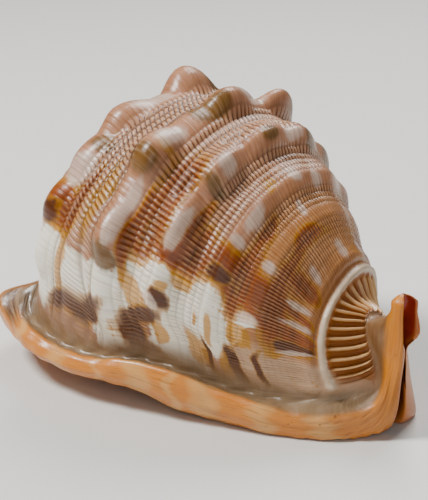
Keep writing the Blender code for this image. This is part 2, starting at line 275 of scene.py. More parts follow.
def canal_ring(
    middle, lean, near, far, back, front, flare, slot, wall, deep=1.0, far_back=0.0, near_on=0.0, near_up=0.0
):
    """A small U-shaped section in a plane that leans back by lean degrees, its sides moved along x or up."""
    a = math.radians(lean)
    rise = np.array([-math.sin(a), 0, math.cos(a)])

    def at(n, t):
        low = 1 if t < 0.3 * back else 0.4
        out_near, out_far = max(0.0, n) / (near + flare), max(0.0, -n) / (far + flare)
        moved = np.array([(near_on * out_near - far_back * out_far) * low, 0, 0])
        return np.array(middle) + n * NEAR + t * (1 - near_up * out_near * (t < 0)) * rise + moved

    n_rim, f_rim = near + flare, far + flare
    ring = [
        at(0, back), at(0.55 * near, 0.9 * back), at(0.88 * near, 0.62 * back), at(near, 0.25 * back),
        at(near, -0.05 * back), at(near + 0.1 * flare, -0.35 * front), at(n_rim, -0.6 * front),
        at(n_rim, -0.8 * front), at(n_rim - 0.3 * wall, -front), at((near + 2 * slot) / 3, -front),
        at(slot, -0.93 * front),
    ]
    b, n, f = back - wall, near - wall, far - wall
    hollow = [
        ((slot + n) / 2, -0.6 * front), (n, -0.2 * front), (0.8 * n, 0.6 * b), (0, b), (-0.8 * f, 0.6 * b),
        (-f, -0.2 * front), (-(slot + f) / 2, -0.6 * front),
    ]
    for i, (side, height) in enumerate(hollow):
        shut = slot * (1 - (i + 1) / 4)
        ring.append(at(shut + (side - shut) * deep, -0.93 * front + (height + 0.93 * front) * deep))
    ring += [
        at(-slot, -0.93 * front), at(-(far + 2 * slot) / 3, -front), at(0.3 * wall - f_rim, -front),
        at(-f_rim, -0.8 * front), at(-f_rim, -0.6 * front), at(-far - 0.1 * flare, -0.35 * front),
        at(-far, -0.05 * back), at(-far, 0.25 * back), at(-0.88 * far, 0.62 * back),
        at(-0.55 * far, 0.9 * back),
    ]
    return np.array(ring)


print("each section has", len(body_ring(60, 1)), "keys")

# %% [markdown]
# ## Stations along the shell
#
# The sections stand at twenty places. Three are plain rings at the spire, three follow the brim where the
# lip and the shield begin, six are the body's C, and eight turn up with the canal. The real canal is a thin
# fold of shell, pinched half way up and wider again above, so its stations stand close together.

# %% Stations from the spire's tip to the canal's tip
def stations():
    under = brim_ring(26, [
        (5, -45, -37.5, 20), (7, -50.5, -46.8, 17), (8, -54.5, -43.5, 12), (9, -59.5, -28, 7),
        (10, -63, -13, 4.8), (14, -64, -6, 3.8), (18, -64, 1, 2.8), (19, -63.5, 10, 1.8),
        (20, -53.5, 43, 0.6), (23, -45, 43, 11),
    ])
    shut = body_ring(26, 0)
    under[:8] = shut[:8]
    under[21:] = shut[21:]
    rings = [
        spire_ring(0.3), spire_ring(5), spire_ring(11),
        brim_ring(16.5, [
            (5, -43, -34, 28), (8, -49.5, -29, 25), (10, -55, -12, 22.5), (14, -56, -6, 22),
            (18, -56, 1, 22), (19, -55.5, 9, 22), (20, -49.5, 29, 21.5), (23, -43, 34, 24),
        ]),
        brim_ring(21.5, [
            (5, -45, -37, 24), (7, -54.5, -44.5, 20.8), (8, -59, -41, 18.5), (9, -64, -27, 15),
            (10, -67, -13, 13), (14, -68, -6, 12.5), (18, -68, 1, 12), (19, -67.5, 10, 11.5),
            (20, -59, 39, 11), (21, -55.5, 43.5, 11), (23, -45.5, 38.5, 18),
        ]),
        under,
    ]
    opened = ((34, 0.35), (46, 0.9), (60, 1), (76, 1), (90, 0.85), (103, 0.6))
    rings += [body_ring(s, depth) for s, depth in opened]
    rings += [
        canal_ring((57.5, 4, 16), 10, 16.5, 14.5, 21.8, 16, 6, 4, 5, far_back=1),
        canal_ring(
            (65.3, 6, 19), 19, 5.1, 9.0, 16.6, 19.8, 4.4, 3.2, 2.6, far_back=3, near_on=2.8, near_up=0.2
        ),
        canal_ring((68, 5.4, 27.4), 45, 3.8, 6.6, 8, 10.7, 0, 1.0, 1.6, far_back=4.5),
        canal_ring((70.6, 5.2, 30.7), 56, 3.2, 5.2, 6, 6.5, 0, 0.8, 1.4, far_back=4.5),
        canal_ring((71.3, 6, 32.6), 60, 3.9, 3.9, 4.9, 5.6, 0, 2.9, 1.3),
        canal_ring((73, 6, 38.4), 82, 3.9, 3.9, 3.0, 2.8, 0, 3.0, 1.2),
        canal_ring((73.2, 6, 41.4), 90, 3.7, 3.7, 3.1, 2.5, 0, 2.7, 1.1, deep=0.8),
        canal_ring((73.1, 5.9, 43.7), 90, 0.8, 0.8, 0.7, 0.5, 0, 0.2, 0.2, deep=0),
    ]
    return np.array(rings)


print(len(stations()), "stations")

# %% [markdown]
# ## How fine the sweep is
#
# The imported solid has 65 steps from the spire to the canal and 74 round. Its teeth and the fan's ribs are
# counted in those steps, so the fine sweep keeps track of them. Most of the fine steps go to the skin that
# shows, because its cords are only about 2.5 mm apart, and few go to the hollow inside.

# %% Fine rings and columns
COARSE_RINGS = [2, 2, 3, 2, 2, 3, 5, 6, 6, 5, 5, 8, 5, 3, 2, 2, 2, 1, 1]
COARSE_COLUMNS = [5, 5, 5, 5, 2, 1, 2, 2, 2, 2, 1, 2, 2, 1, 1, 1, 1, 1, 2, 5, 2, 1, 1, 2, 5, 5, 5, 5]
HALF_WAY = 14  # the key at the bottom of the section
FINE_RINGS = [3, 3, 6, 6, 6, 12, 22, 26, 28, 25, 22, 28, 16, 10, 7, 5, 5, 4, 2]
FINE_COLUMNS = [52, 52, 52, 52, 14, 5, 6, 6, 6, 5, 3, 4, 3, 2, 2, 2, 2, 2, 5, 7, 6, 4, 4, 8, 24, 24, 26, 42]


def tracks(counts, coarse):
    """Where each fine step lies, counted in keys and counted in coarse steps."""
    place = np.concatenate([k + np.arange(n) / n for k, n in enumerate(counts)])
    total = np.concatenate([[0], np.cumsum(coarse)])
    return place, np.interp(place, np.arange(len(total)), total)


smooth = through(stations(), FINE_RINGS, False)
smooth = through(smooth.transpose(1, 0, 2), FINE_COLUMNS, True).transpose(1, 0, 2)
ring, ring_step = tracks(FINE_RINGS, COARSE_RINGS)
ring = np.append(ring, len(FINE_RINGS))[:, None]
ring_step = np.append(ring_step, sum(COARSE_RINGS))[:, None]
column, column_step = tracks(FINE_COLUMNS, COARSE_COLUMNS)
# A column's place in keys from the top, negative up the far side.
turned = np.where(column > HALF_WAY, column - KEYS, column)[None, :]
column, column_step = column[None, :], column_step[None, :]
print("grid of", smooth.shape[0], "rings by", smooth.shape[1], "columns")

# %% [markdown]
# ## Where a point lies on the coil
#
# Every rib, knob and colour band of the shell was laid down along the spiral, so the reliefs and the
# colours are all placed by the distance along it and by the angle round the axis. The angle is 90 at the
# top, 0 on the near wall and 180 on the far wall.

# %% Coil coordinates
SLANT = 0.13  # how far the spiral runs on along the axis for each degree round it
from_apex = smooth - APEX
reach_along = from_apex @ AXIS
angle = np.degrees(np.arctan2(from_apex @ UP, from_apex @ NEAR))
angle = np.where(angle < -90, angle + 360, angle)
spiral = reach_along + SLANT * step(40, 58, reach_along) * (np.clip(angle, -20, 150) - 90)
radius = np.linalg.norm(np.cross(from_apex, AXIS), axis=2)


def outward(grid):
    """The direction out of the shell at each point of a grid."""
    ahead = np.gradient(grid, axis=0)
    across = np.roll(grid, -1, 1) - np.roll(grid, 1, 1)
    normal = np.cross(across, ahead)
    return normal / (np.linalg.norm(normal, axis=2, keepdims=True) + 1e-9)


def drift(scale_b, scale_a, seed):
    """An uneven field from -1 to 1 over the coil, the sum of a few waves that cross at odd angles."""
    chance = np.random.default_rng(seed)
    total = 0
    for _ in range(7):
        turn = chance.uniform(0, math.tau)
        size = chance.uniform(0.6, 1.7)
        phase = chance.uniform(0, math.tau)
        place = spiral / scale_b * math.cos(turn) + angle / scale_a * math.sin(turn)
        total = total + np.sin(size * place + phase)
    return total / 3.2


print("the spiral runs from", round(float(spiral.min())), "to", round(float(spiral.max())), "mm")

# %% [markdown]
# ## Parts of the surface
#
# The skin is the outside of the body whorl. The lip has a trough behind it, a round rim and a flat
# underside that ends in teeth. The shield has a thin rolled edge. The hollow is what the slit opens into.
# Painted vertex groups could mark them, but soft steps in key numbers keep their edges on the form.

# %% Masks for the parts of the surface
skin = step(-4.6, -3.7, turned) * (1 - step(3.9, 4.8, turned)) * step(1.5, 3.2, ring)
skin = skin * (1 - step(13.2, 14.2, ring))
rim = step(5.55, 6.0, turned) * (1 - step(8.4, 8.9, turned)) * step(3.0, 4.0, ring)
trough = step(4.1, 4.9, turned) * (1 - step(5.5, 6.0, turned)) * step(3.0, 4.0, ring)
trough = trough * (1 - step(12.6, 13.4, ring))
under_lip = step(8.3, 8.9, turned) * (1 - step(10.3, 10.8, turned)) * step(2.6, 3.6, ring)
hollow = step(10.4, 11.2, column) * (1 - step(17.2, 17.9, column)) * step(4.2, 5.6, ring)
hood = hollow * step(13.2, 14.4, ring)
shield = step(17.2, 17.9, column) * (1 - step(23.3, 23.9, column)) * step(2.6, 3.8, ring)
canal = step(12.95, 13.15, ring) * np.ones_like(column)
print("share of the grid: skin", round(float(skin.mean()), 2), "shield", round(float(shield.mean()), 2))

# %% [markdown]
# ## Main relief
#
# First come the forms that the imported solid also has: the ribs with their knobs, the suture that winds in
# to the spire's tip with its nodules, the ridge, the fan's ribs, and the teeth and folds of the aperture.
# Each is a height over the smooth sweep, so they can be added up before anything moves.

# %% Ribs, knobs, spire, fan and teeth
relief = along(RIBS, spiral) * skin
knob_form = np.zeros_like(spiral)
for row, knobs in KNOBS:
    for place, height in knobs:
        round_by = np.radians(angle - place) * radius
        long = np.where(round_by > 0, KNOB_AHEAD, KNOB_BEHIND)
        spread = ((spiral - row) / KNOB_REACH) ** 2 + (round_by / long) ** 2
        knob_form = knob_form + height * np.clip(1 - spread, 0, 1) ** 1.5 * skin
relief = relief + knob_form

WIDEST_TURN, TURN_GROWTH = 39, 1.5  # radius of the spire's last turn, and each turn over the one before
turn = np.log(np.maximum(radius, 1.0) / WIDEST_TURN) / math.log(TURN_GROWTH) + angle / 360
turn = turn - np.floor(turn)
spire = (1 - step(17, 23, reach_along)) * step(0.2, 1.5, ring)
spire = spire * step(-5, -4, turned) * (1 - step(4.5, 5.5, turned))
suture = np.exp(-((np.minimum(turn, 1 - turn) / 0.09) ** 2))
nodule = np.exp(-(((turn - 0.55) / 0.2) ** 2)) * (0.5 + 0.5 * np.cos(np.radians(angle * 12)))
relief = relief + spire * np.clip(radius / 30, 0.2, 1) * (1.6 * nodule - 0.9 * suture)

FAN_HEIGHT, FAN_FLOOR = 1.5, 0.6
fan = step(112, 114, spiral) * (1 - step(12.9, 13.1, ring))
fan = fan * step(-3.0, -2.0, turned) * (1 - step(3.6, 4.2, turned))
fan_rib = np.clip(np.cos(math.pi * column_step), 0, 1) ** 1.2
relief = relief + fan * (FAN_HEIGHT * fan_rib - FAN_FLOOR)

LIP_TOOTH, SHIELD_TOOTH = 1.1, 0.8
tooth = 0.5 + 0.5 * np.cos(math.pi * ring_step)
toothed = step(5.8, 6.6, ring) * (1 - step(12.2, 13.0, ring))
lip_side = hump(9.9, 1.0, turned)
shield_side = hump(18.3, 1.2, column)
relief = relief + toothed * tooth * (LIP_TOOTH * lip_side + SHIELD_TOOTH * shield_side)
print("main relief from", round(float(relief.min()), 2), "to", round(float(relief.max()), 2), "mm")

# %% [markdown]
# ## Fine relief
#
# Between the rows of knobs run bands of three or four cords, parted by spiral grooves. Growth ribs cross
# them about every two degrees, where the snail stopped and started, so the bands look like plaited rope.
# The ribs lean one way near the top and the other way near the canal. In the top band the cords are
# twisted, so their beads slant. The rows of knobs themselves are nearly smooth. A height image could hold
# all this, but waves that follow the coil stay crisp and need no picture.

# %% Cords and growth ribs
GROOVES = np.array([  # place along the spiral, depth
    (33, 0), (36.5, 0.4), (39.2, 1.6), (41.8, 1.9), (44.4, 1.9), (47.0, 1.7), (50.5, 0), (54.6, 0.7),
    (57.5, 1), (60.4, 1), (63.4, 1), (66.2, 0.8), (69, 0), (72.3, 0.9), (74.5, 1), (76.6, 1), (78.7, 1),
    (80.9, 0.7), (83.5, 0), (86.2, 0.8), (87.9, 0.9), (89.6, 0.9), (91.3, 0.7), (93.8, 0.15), (96.2, 0.6),
    (97.8, 0.6), (99.4, 0.6), (101, 0.4), (102.8, 0.25), (104.6, 0.25), (106.4, 0.3), (107.8, 0.5),
    (109.3, 0.5), (120, 0),
])
RIB_HEIGHT = np.array([  # place along the spiral, height of the growth ribs
    (26, 0), (31, 0.12), (36, 0.15), (39, 1.1), (46, 1.3), (48.5, 0.12), (54, 0.14), (56.5, 1), (65, 1),
    (67, 0.14), (71, 0.14), (73, 1), (80, 1), (82, 0.14), (85.5, 0.16), (87, 0.9), (91, 0.8), (92.5, 0.35),
    (95.5, 0.35), (97, 1), (100, 0.9), (104, 0.8), (107, 0.4), (110, 0), (200, 0),
])
RIB_PITCH = 2.15  # degrees round the axis
RIB_RELIEF, CORD_RELIEF, UNEVEN_RELIEF = 0.48, 0.34, 0.16
KNOB_EXTRA = 0.2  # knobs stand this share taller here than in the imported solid, away from the top
RIDGE_PLACE, RIDGE_WIDTH = 111.2, 1.3

cord_phase = np.interp(spiral + 0.25 * drift(12, 16, 6), GROOVES[:, 0], np.arange(len(GROOVES)))
cord_depth = np.interp(spiral, GROOVES[:, 0], GROOVES[:, 1]) * skin
within_cord = cord_phase - np.floor(cord_phase) - 0.5
wander = 1.0 * drift(18, 26, 3) + 0.35 * drift(6, 9, 4)
lean = step(60, 85, angle) * 0.22 * np.clip(spiral - 55, 0, 18) - 0.42 * np.clip(spiral - 90, 0, 20)
twist = 1.7 * within_cord * step(37, 39, spiral) * (1 - step(47, 48.5, spiral))
growth_phase = (angle + wander + lean + twist) / RIB_PITCH
settled = 0.45 + 0.55 * step(8, 32, angle)  # smoother where the lip was thickened, next to it
rib_height = np.interp(spiral, RIB_HEIGHT[:, 0], RIB_HEIGHT[:, 1]) * skin * settled

uneven = np.clip(0.8 + 0.4 * drift(12, 9, 5), 0.35, 1.25)
rib_wave = 0.5 - 0.5 * np.cos(math.tau * growth_phase)
cord_wave = np.exp(-((0.5 - np.abs(within_cord)) / 0.2) ** 2)
far_fade = 1 - 0.6 * step(105, 125, angle)  # the far side's columns are too wide apart for full ribs
fine = RIB_RELIEF * rib_height * far_fade * uneven * (0.45 - rib_wave)
fine = fine + CORD_RELIEF * cord_depth * (0.3 - cord_wave) * (0.5 + 0.5 * settled)
fine = fine + UNEVEN_RELIEF * drift(5, 3.2, 8) * skin * step(30, 36, spiral)
fine = fine + KNOB_EXTRA * knob_form * (1 - step(60, 80, angle) * (1 - step(120, 135, angle)))

ridge = np.exp(-(((spiral - RIDGE_PLACE) / RIDGE_WIDTH) ** 2)) * skin
fine = fine + fan * (1 - fan_rib) * 0.10 * np.cos(math.pi * column_step * 5)
print("fine skin relief from", round(float(fine.min()), 2), "to", round(float(fine.max()), 2), "mm")

# %% [markdown]
# ## The lip and the shield close to
#
# The lip was rolled outwards in many thin layers. Their edges show as lines along the rim, the rim swells
# and narrows as it goes, and the last layer at the canal end is ragged. The shield is a glaze laid over
# the older whorl, so it is smooth, with soft waves and a thin raised edge. All of these are waves that run
# along the shell or across the rim, since grown layers never repeat quite evenly.

# %% Layers of the lip and waves of the shield
LAYER_RELIEF, SWELL_RELIEF, RAGGED_RELIEF = 0.16, 0.2, 0.4
TROUGH_RELIEF, CRACK_DEPTH, SHIELD_RELIEF, UNDER_RELIEF = 0.25, 0.7, 0.25, 0.12
place_x, place_y = smooth[..., 0], smooth[..., 1]
layer = np.cos(math.tau * (turned * 4.3 + 0.25 * np.sin(place_x * 0.13)))
swell = np.sin(place_x * 0.33 + 1.4 * np.sin(place_x * 0.09))
swell = swell + 0.5 * np.sin(place_x * 0.71 + 1.3 * np.sin(place_x * 0.21))
fine = fine + rim * (LAYER_RELIEF * layer + SWELL_RELIEF * swell)
ragged = rim * step(11.4, 12.6, ring) * (1 - step(13.6, 14.2, ring))
frayed = np.sin(place_x * 1.9 + turned * 4) * np.sin(turned * 7 + place_x * 0.7)
fine = fine + ragged * RAGGED_RELIEF * frayed
fine = fine + trough * TROUGH_RELIEF * np.sin(place_x * 0.8 + 2 * np.sin(turned * 5))
shelf = (1 - step(-46, -36, place_x)) * step(3.0, 4.0, ring)  # the wide start of the trough, by the spire
shelf = shelf * step(4.1, 4.9, turned) * (1 - step(6.6, 7.2, turned))
crack = np.abs(np.sin(place_x * 0.55 + 2.2 * np.sin(turned * 2.6) + 1.3 * np.sin(place_x * 0.23)))
fine = fine - shelf * CRACK_DEPTH * np.exp(-((crack / 0.16) ** 2))
wave = np.sin(place_x * 0.21 + place_y * 0.12) + 0.5 * np.sin(place_x * 0.5 - place_y * 0.33)
fine = fine + (shield * SHIELD_RELIEF + under_lip * UNDER_RELIEF) * wave

surface_grid = smooth + outward(smooth) * (relief + fine)[..., None]
surface_grid[..., 2] = np.maximum(surface_grid[..., 2], 0)
print("fine relief from", round(float(fine.min()), 2), "to", round(float(fine.max()), 2), "mm")

# %% [markdown]
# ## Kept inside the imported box
#
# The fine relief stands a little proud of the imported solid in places. The whole surface is drawn in by
# that little, from the spire's end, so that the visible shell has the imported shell's width and height and
# stays inside its box. The finer canal ends about 2 mm short of the solid's.

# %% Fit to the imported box
CLEARANCE = 0.00002
points = (surface_grid - CENTRE) * MM
points[0] = points[0].mean(axis=0)
points[-1] = points[-1].mean(axis=0)
low, high = points.min(axis=(0, 1)), points.max(axis=(0, 1))
box_low, box_high = np.array(cad_low), np.array(cad_high)
fit = np.minimum(1.0, (box_high - box_low - 2 * CLEARANCE) / (high - low))
points = (points - low) * fit + box_low + np.array([CLEARANCE, CLEARANCE, 0])
size = points.max(axis=(0, 1)) - points.min(axis=(0, 1))
print("fitted by", fit.round(4), "to", (size / MM).round(1), "mm")

# %% [markdown]
# ## The shell as one mesh
#
# A ball of rings and columns has the layout of the sweep, with one pole at the spire's tip and the other
# at the canal's. So the mesh starts as one, and each of its points moves to its place on the surface.

# %% Build the mesh
rings, columns = points.shape[0] - 1, points.shape[1]
ball = bmesh.new()
bmesh.ops.create_uvsphere(ball, u_segments=columns, v_segments=rings, radius=1.0)
mesh = bpy.data.meshes.new("helmet_shell_surface")
ball.to_mesh(mesh)
ball.free()

start = np.empty(len(mesh.vertices) * 3)
mesh.vertices.foreach_get("co", start)
start = start.reshape(-1, 3)
on_ring = np.rint(np.arccos(np.clip(start[:, 2], -1, 1)) / math.pi * rings).astype(int)
on_column = np.rint(-np.arctan2(start[:, 1], start[:, 0]) / math.tau * columns).astype(int) % columns
mesh.vertices.foreach_set("co", points[on_ring, on_column].ravel())
mesh.update()

turning = bmesh.new()
turning.from_mesh(mesh)
bmesh.ops.recalc_face_normals(turning, faces=turning.faces)
turning.to_mesh(mesh)
turning.free()
mesh.shade_smooth()
shell = bpy.data.objects.new("helmet_shell_surface", mesh)
bpy.context.scene.collection.objects.link(shell)
print("mesh of", len(mesh.polygons), "faces")

# %% [markdown]
# ## Where the colours lie
#
# The shell is pinkish tan on top, rust on its lower front and cream next to the lip, with dark flames that
# hang down into the cream. Each patch is named here by its middle and its reach, along the spiral and round
# the axis. Their edges wander, and they follow the growth lines, because the snail laid all of its colour
# down at the edge of its mantle. A painted image would be the usual way, but it would need a picture file,
# while soft spots in the coil's own coordinates bend with the form by themselves.

# %% Patches of colour
patch_b = spiral + 1.3 * drift(8, 10, 11) + 0.7 * drift(3.2, 4, 12)
patch_a = angle + 0.6 * lean + 2.2 * drift(9, 9, 13) + 1.2 * drift(4, 3.2, 14)


def patches(spots):
    """1 inside the spots and 0 far from them, about 0.4 at their edges; near ones run together.

    A spot is its place along the spiral and round the axis, its reach in both, and its slant.
    """
    outside = np.ones_like(spiral)
    for middle_b, middle_a, half_b, half_a, *slant in spots:
        from_middle = patch_b - middle_b
        across_it = patch_a - middle_a - sum(slant) * from_middle
        reach = (from_middle / half_b) ** 2 + (across_it / half_a) ** 2
        outside = outside * (1 - np.exp(-(reach ** 1.4)))
    return 1 - outside


cream = patches([
    (36, -2, 6, 19), (48.5, 4, 9, 12), (50, -12, 7, 10), (61.5, 21, 8, 6), (70, -4, 7, 18),
    (70, 25, 5, 6), (76, 14, 6, 14), (80, 18, 6, 13), (84, 12, 4, 20), (88, 14, 4, 10),
    (93.5, 23, 3.5, 5), (70, -18, 9, 9), (58, 12, 4, 6), (50, 172, 9, 13), (64, 178, 9, 15),
    (80, 182, 9, 15), (95, 178, 8, 13), (36, 176, 7, 13),
])
rust = patches([
    (35.5, 24, 6, 8.5), (40, 30, 1.6, 12), (56, 30, 1.8, 14), (61, 37, 5.6, 12), (61, 54, 5, 14),
    (70, 33.5, 4.5, 4.6), (72.3, 45, 1.6, 12), (77, 40, 4.6, 11), (84, 41, 4.6, 10), (89, 42, 3, 22),
    (93.7, 38, 4, 13), (98.5, 40, 3, 30), (103.5, 17, 5, 7), (104, 26, 5, 5), (104, 40, 5, 3.5),
    (104, 60, 5, 9), (98, 85, 2, 20), (88, 68, 2, 10), (44, 142, 4, 12), (60, 150, 7, 14),
    (76, 152, 6, 13), (90, 148, 8, 16), (104, 140, 7, 20), (60, 197, 6, 8), (88, 193, 6, 8),
    (104, 172, 6, 14),
])
brown = patches([
    (44, -9, 6, 6, 1.5), (61.8, 1, 7, 5, 0.9), (57, -14, 4, 8), (70.3, 15.6, 3.2, 4.4), (82, -6, 1, 12),
    (90, -10, 2, 15), (97, -8, 1, 14), (84.5, 37, 3.4, 5), (103.5, 15.5, 4.2, 4, 0.4), (33.5, 19.5, 3, 5),
    (62, -20, 5, 5), (63, 198, 5, 5), (42, 186, 3, 6),
])
olive = patches([
    (50.5, 19.5, 5, 5.4), (50, 51, 3.6, 5.5), (69.8, 58.8, 3.8, 3.4), (35.5, 52, 3.8, 4.6),
    (51, 84, 4.4, 6), (36, 108, 6, 7), (51, 130, 5, 6), (69, 96, 3.4, 4), (70, 124, 4, 5),
    (36, 140, 5, 6), (52, 158, 5, 6), (70, 146, 4, 5),
])
gold = patches([
    (60, 8.5, 4.4, 9.5), (78, -6, 4.6, 11), (84, 9, 1.1, 9, -3), (40.8, 2, 1.2, 18), (76, 26, 3, 4.5),
    (38, 17.5, 3, 3), (56.4, 17, 1.6, 8), (52.5, 60, 2.5, 3), (82, 82, 2.4, 5), (100, 10, 2, 8),
    (71, 21, 2.2, 2.4), (66, -5, 2.4, 8), (88, -12, 3.2, 10), (64, 190, 6, 9), (92, 186, 5, 10),
    (44, 36, 1.6, 14), (92, 12, 3, 6),
])
# Pale spots on the knobs, painted highlights.
spots = patches([
    (67.4, 13, 2.3, 3.4), (51.3, 31, 3.2, 6.5), (51, 40, 2.6, 6), (34.5, 38.5, 4.6, 6.5),
    (51.5, 64, 3, 7), (69, 43, 2.6, 8.5), (69, 69, 3, 5), (83.5, 53, 2.6, 2.4), (83.5, 64, 3, 7),
    (93.5, 23.5, 2.8, 3.6), (93.5, 54.5, 2.7, 2.8), (104, 12, 4, 1.8, 0.6), (104, 34.5, 3.8, 2.4, 0.7),
    (104.5, 46.6, 3.8, 3, 0.6), (104.6, 75, 2.4, 5, 0.5), (92.6, 94, 2.6, 3.2), (83.5, 98, 2.6, 4.5),
    (83.5, 113, 3, 5), (103.5, 106, 2.8, 4.5), (69, 112, 3, 6), (50.5, 105, 3.2, 9), (34, 78, 3.2, 7),
    (35, 124, 3.4, 8), (84, 136, 3, 6), (104, 128, 3, 5), (51, 146, 3, 7),
])
print("cream covers", round(100 * float((cream * skin > 0.4).mean()), 1), "percent of the grid")

# %% [markdown]
# ## Colour of the lip
#
# The rim is orange with paler bars across it, from 9 to 19 mm apart. They could be cut in the material too,
# but here the bars can slant and bend with the rim. Then everything that the material needs is stored on
# the mesh's points, so that nodes can read it anywhere on the surface.

# %% Bars across the rim
# Each bar's place along the shell and half its width.
BARS = ((-36, 3), (-17, 6), (-2, 2), (11.5, 5), (22, 2), (31, 5.5), (47.7, 4.5), (62.5, 4))
bars = np.zeros_like(spiral)
for bar_x, half_width in BARS:
    middle = bar_x + 1.1 * (turned - 7) + 1.2 * np.sin(turned * 5 + bar_x)
    bars = np.maximum(bars, hump(middle, half_width, place_x))


def keep(name, *layers):
    """Stores up to three numbers a point on the mesh, where the material can read them."""
    layers = [np.broadcast_to(values, spiral.shape) for values in layers]
    while len(layers) < 3:
        layers.append(np.zeros_like(spiral))
    values = np.stack(layers, axis=-1)[on_ring, on_column].astype(np.float32)
    mesh.attributes.new(name, "FLOAT_VECTOR", "POINT").data.foreach_set("vector", values.ravel())


keep("coil", spiral / 10, angle / 10, place_x / 10)
keep("weave", growth_phase, cord_phase, turned)
keep("depth", rib_height, cord_depth)
keep("region", skin * (1 - canal), rim * (1 - step(13.0, 13.8, ring) * 0.6), trough)
keep("glaze", shield + under_lip, hollow, hood)
keep("patch_one", cream, rust, brown)
keep("patch_two", olive, gold, spots)
keep("detail", fan_rib * fan, ridge, toothed * tooth * (lip_side + shield_side))
keep("lip", bars, shelf, fan)
print("stored", [a.name for a in mesh.attributes])

# %% [markdown]
# ## The shell's surface
#
# Shell is chalk with a skin of its own varnish, and it shines like glazed china, a bit duller along the
# growth lines. A photograph laid over the mesh would bring its own light and shadow with it. So the colours
# are mixed by nodes, one over the other, from the values that the mesh holds. These helpers keep each
# layer to one line.

# %% Small helpers for the material
material = bpy.data.materials.new("glossy_shell")
material.use_nodes = True
tree = material.node_tree
tree.nodes.clear()


def put(kind, **settings):
    """A new node of a kind, with its settings."""
    made = tree.nodes.new(kind)
    for name, value in settings.items():
        setattr(made, name, value)
    return made


def feed(socket, value):
    """Gives a socket a plain value, or links another node's output to it."""
    if isinstance(value, bpy.types.NodeSocket):
        tree.links.new(value, socket)
    else:
        socket.default_value = value


def maths(operation, first, second=0.0):
    made = put("ShaderNodeMath", operation=operation)
    feed(made.inputs[0], first)
    feed(made.inputs[1], second)
    return made.outputs[0]


def times(first, second):
    return maths("MULTIPLY", first, second)


def plus(first, second):
    return maths("ADD", first, second)


def minus(first, second):
    return maths("SUBTRACT", first, second)


def read(name):
    """The three values that the mesh holds under a name."""
    split = put("ShaderNodeSeparateXYZ")
    feed(split.inputs[0], put("ShaderNodeAttribute", attribute_name=name).outputs["Vector"])
    return split.outputs


def ramp(value, low, high):
    """0 below low, 1 above high, and soft between."""
    made = put("ShaderNodeMapRange", interpolation_type="SMOOTHSTEP")
    feed(made.inputs["Value"], value)
    feed(made.inputs["From Min"], low)
    feed(made.inputs["From Max"], high)
    return made.outputs[0]


def linear(channel):
    """One channel of a chart colour, 0 to 255, as the light that it stands for."""
    share = channel / 255
    return share / 12.92 if channel < 11 else ((share + 0.055) / 1.055) ** 2.4


def colour(red, green, blue):
    return (linear(red), linear(green), linear(blue), 1.0)


def blend(share, first, second):
    """The first colour where the share is 0 and the second where it is 1."""
    made = put("ShaderNodeMix", data_type="RGBA")
    feed(made.inputs["Factor"], share)
    feed(made.inputs["A"], first)
    feed(made.inputs["B"], second)
    return made.outputs["Result"]


def noise(vector, scale, detail=3.0, roughness=0.5):
    made = put("ShaderNodeTexNoise")
    feed(made.inputs["Vector"], vector)
    made.inputs["Scale"].default_value = scale
    made.inputs["Detail"].default_value = detail
    made.inputs["Roughness"].default_value = roughness
    return made.outputs[0]


def stretched(first, often_first, second, often_second):
    """Two stored values as the place that a noise is read at, each with how often it repeats."""
    made = put("ShaderNodeCombineXYZ")
    feed(made.inputs[0], times(first, often_first))
    feed(made.inputs[1], times(second, often_second))
    return made.outputs[0]


print("a mid grey of 128 stands for", round(linear(128), 3), "of the light")

# %% [markdown]
# ## What the mesh holds
#
# The values stored above come back as node outputs. The two coil coordinates are in units of 10 mm and
# 10 degrees. Place along the shell and position in the object serve where a pattern doesn't follow the coil.

# %% Read what the mesh holds
b, a, along_x = read("coil")
growth_turns, cord_turns, across = read("weave")
rib_depth, groove_depth, _ = read("depth")
skin_part, rim_part, trough_part = read("region")
shield_part, hollow_part, hood_part = read("glaze")
cream_field, rust_field, brown_field = read("patch_one")
olive_field, gold_field, knob_highlight_field = read("patch_two")
rib_part, ridge_part, tooth_part = read("detail")
bar_field, shelf_part, fan_part = read("lip")
where = put("ShaderNodeTexCoord").outputs["Object"]
print("reading takes", len(tree.nodes), "nodes")

# %% [markdown]
# ## Uneven edges
#
# The snail laid its colours down line by line at the edge of its mantle, so a patch has frayed edges that
# run with the growth lines, and some of them drip. A soft mask alone looks sprayed on. So noise that is
# drawn out along the growth lines shakes the mask before it is cut. On the real shell the edges are crisp
# near the lip and melt into each other over the top.

# %% Uneven edges that follow the growth lines
streak = noise(stretched(b, 0.6, a, 6.0), 1.0, 4.0, 0.6)
blotch = noise(stretched(b, 1.6, a, 1.3), 1.0, 4.0, 0.6)
thread = noise(stretched(b, 7.0, a, 0.9), 1.0, 3.0, 0.6)
drip = noise(stretched(b, 4.0, a, 0.45), 1.0, 2.0, 0.5)
shake_one = times(minus(streak, 0.5), 0.5)
shake_two = times(minus(blotch, 0.5), 0.5)
shake = plus(plus(shake_one, shake_two), times(minus(drip, 0.5), 0.9))
over_top = ramp(a, 2.8, 6.0)  # 0 near the lip and 1 over the top


def cut(field, start, crisp, soft, shaken=1.0):
    """Where a field rises past start: over a short way near the lip, over a longer one on top."""
    shaken_field = plus(field, times(shake, shaken))
    width = plus(times(over_top, soft - crisp), crisp)
    return ramp(shaken_field, start, plus(width, start))


print("with the uneven edges there are", len(tree.nodes), "nodes")

# %% [markdown]
# ## Ground and pigments of the skin
#
# The ground is a pinkish tan that turns paler and warmer towards the lip and the canal. Each pigment is a
# pair of colours with noise between them, since none is even on a real shell. One flat colour apiece
# would be simpler, and would look like paint.

